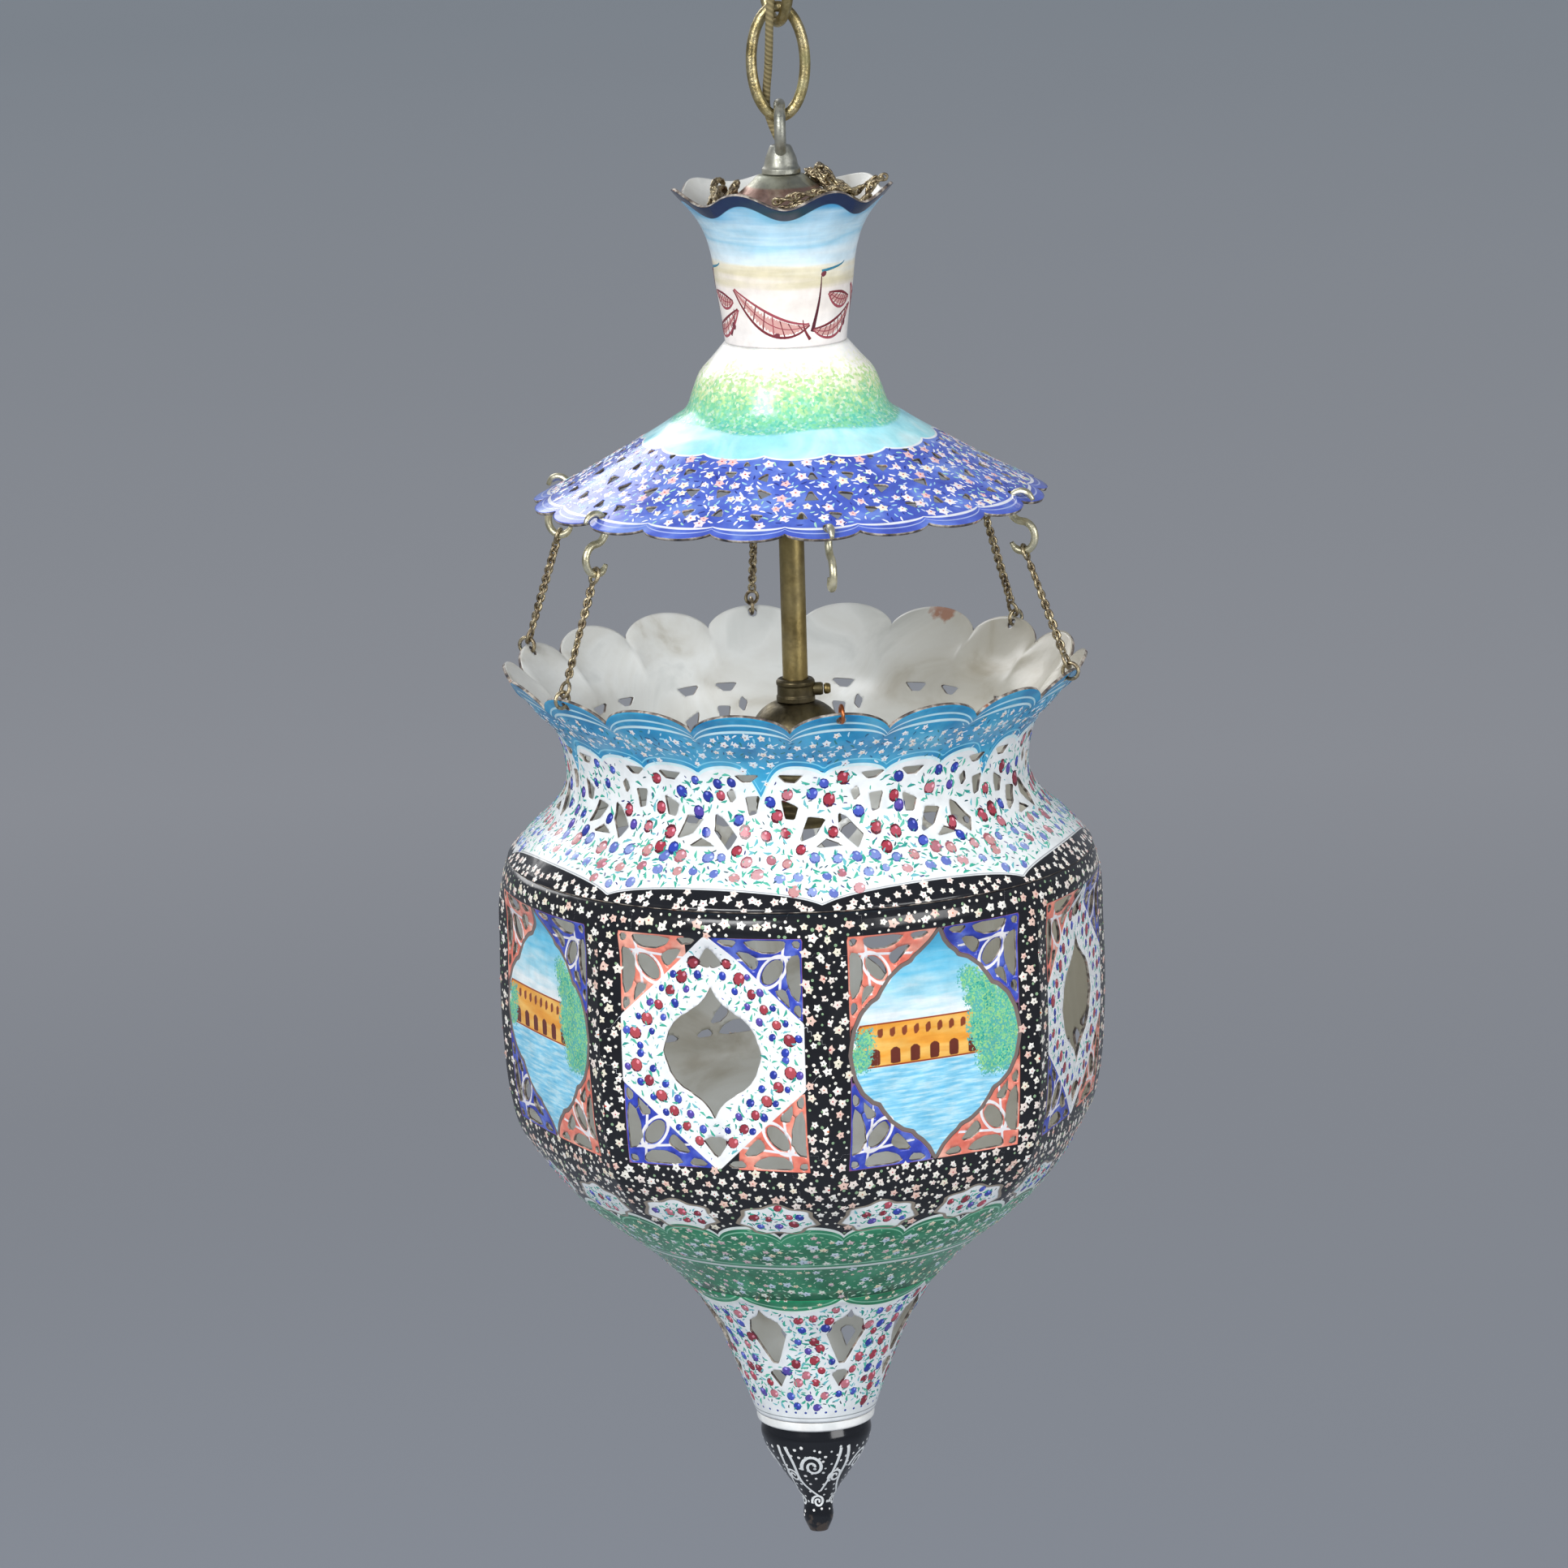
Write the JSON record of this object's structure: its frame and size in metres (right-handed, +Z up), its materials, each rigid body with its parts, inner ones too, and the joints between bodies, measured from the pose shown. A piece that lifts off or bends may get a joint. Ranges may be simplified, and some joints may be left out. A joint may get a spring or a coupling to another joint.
{
  "type": "chandelier",
  "caption": "Hanging lamp of pierced and painted enamel on copper: a bell-shaped shade above a bellied bowl on fine chains, with a lampholder on a stem, hung from a ceiling hook by chain links",
  "frame": {"origin": "centre of the flat top face of the ceiling plate, where it meets the ceiling", "axes": "+Z points up out of the ceiling plate along the axis of the lamp, -Y is the side seen in the picture, +X is its right"},
  "size_m": [0.2412, 0.2412, 0.6854],
  "materials": {
    "ceiling_brass": "polished",
    "chain_brass": "aged, pitted",
    "zinc_plate": "dull plated",
    "copper_cap": "oxidised copper",
    "bare_copper": "bare oxidised copper",
    "aged_brass": "aged",
    "hook_brass": "drawn wire, dull",
    "dark_bronze": "dark patina with bright edges",
    "crown_enamel": "glossy enamel on copper",
    "shade_enamel": "glossy enamel on copper",
    "bowl_enamel": "glossy enamel on copper",
    "belly_enamel": "glossy enamel on copper",
    "finial_enamel": "glossy enamel on metal",
    "porcelain": "glazed",
    "steel": "plated",
    "flex": "matte sheath"
  },
  "bodies": {
    "ceiling": {"ceiling_plate": "ceiling_brass", "ceiling_screw_1": "ceiling_brass", "ceiling_screw_2": "ceiling_brass", "ceiling_hook": "ceiling_brass", "flex_ceiling": "flex"},
    "upper_link": {"chain_link_upper": "chain_brass", "flex_upper": "flex"},
    "lower_link": {"chain_link_lower": "chain_brass", "flex_lower": "flex"},
    "lamp": {"hanging_loop": "zinc_plate", "crown_cap": "copper_cap", "crown": "crown_enamel", "crown_chain_long": "dark_bronze", "crown_chain_short": "dark_bronze", "shade": "shade_enamel", "support_disc": "copper_cap", "pipe_locknut": "aged_brass", "stem_pipe": "aged_brass", "lampholder_clamp": "aged_brass", "set_screw": "aged_brass", "lampholder_dome": "aged_brass", "lampholder_shell": "aged_brass", "holder_insulator": "porcelain", "screw_shell": "aged_brass", "centre_contact": "aged_brass", "flex_stem": "flex"},
    "bowl": {"bowl_neck": "bowl_enamel", "bowl_belly": "belly_enamel", "bowl_cone": "bowl_enamel", "foot_disc": "bowl_enamel", "finial": "finial_enamel", "finial_stud": "steel", "finial_nut": "steel", "rim_ring_1": "bare_copper"},
    "hook_1": {"s_hook_1": "hook_brass"},
    "hanger_2": {"s_hook_2": "hook_brass", "fine_chain_2": "dark_bronze", "rim_ring_2": "dark_bronze"},
    "hanger_3": {"s_hook_3": "hook_brass", "fine_chain_3": "dark_bronze", "rim_ring_3": "dark_bronze"},
    "hanger_4": {"s_hook_4": "hook_brass", "fine_chain_4": "dark_bronze", "rim_ring_4": "dark_bronze"},
    "hanger_5": {"s_hook_5": "hook_brass", "fine_chain_5": "dark_bronze", "rim_ring_5": "dark_bronze"},
    "hanger_6": {"s_hook_6": "hook_brass", "fine_chain_6": "dark_bronze", "rim_ring_6": "dark_bronze"}
  },
  "joints": [
    {"name": "upper_link_swing", "type": "hinge", "parent": "ceiling", "child": "upper_link", "pos_m": [0, 0, -0.03475], "axis": [0.866, 0.5, 0], "range_deg": [-15, 15], "deforming": ["flex_upper"]},
    {"name": "lower_link_swing", "type": "hinge", "parent": "upper_link", "child": "lower_link", "pos_m": [0, 0, -0.0726], "axis": [0.5, -0.866, 0], "range_deg": [-15, 15]},
    {"name": "lamp_swing", "type": "hinge", "parent": "lower_link", "child": "lamp", "pos_m": [0, 0, -0.10955], "axis": [1, 0, 0], "range_deg": [-15, 15], "deforming": ["flex_lower"]},
    {"name": "hook_1_swing", "type": "hinge", "parent": "lamp", "child": "hook_1", "pos_m": [0.01481, -0.0979, -0.25766], "axis": [0.1495, -0.9888, 0], "range_deg": [-12, 12]},
    {"name": "bowl_twist", "type": "hinge", "parent": "lamp", "child": "bowl", "pos_m": [0, 0, -0.45], "axis": [0, 0, 1], "range_deg": [-3.6, 3.6]},
    {"name": "hanger_2_swing", "type": "hinge", "parent": "lamp", "child": "hanger_2", "pos_m": [0.09001, -0.03527, -0.25653], "axis": [0.9311, -0.3649, 0], "range_deg": [-6, 6]},
    {"name": "hanger_3_swing", "type": "hinge", "parent": "lamp", "child": "hanger_3", "pos_m": [0.07738, 0.06177, -0.25766], "axis": [0.7815, 0.6239, 0], "range_deg": [-6, 6]},
    {"name": "hanger_4_swing", "type": "hinge", "parent": "lamp", "child": "hanger_4", "pos_m": [-0.01446, 0.09558, -0.25653], "axis": [-0.1495, 0.9888, 0], "range_deg": [-6, 6]},
    {"name": "hanger_5_swing", "type": "hinge", "parent": "lamp", "child": "hanger_5", "pos_m": [-0.09218, 0.03613, -0.25766], "axis": [-0.9311, 0.3649, 0], "range_deg": [-6, 6]},
    {"name": "hanger_6_swing", "type": "hinge", "parent": "lamp", "child": "hanger_6", "pos_m": [-0.07555, -0.06031, -0.25653], "axis": [-0.7815, -0.6239, 0], "range_deg": [-6, 6]}
  ],
  "couplings": [
    {"joint": "hanger_2_swing", "follows": "bowl_twist", "ratio": 1.6109},
    {"joint": "hanger_3_swing", "follows": "bowl_twist", "ratio": 1.6373},
    {"joint": "hanger_4_swing", "follows": "bowl_twist", "ratio": 1.6109},
    {"joint": "hanger_5_swing", "follows": "bowl_twist", "ratio": 1.6373},
    {"joint": "hanger_6_swing", "follows": "bowl_twist", "ratio": 1.6109}
  ]
}
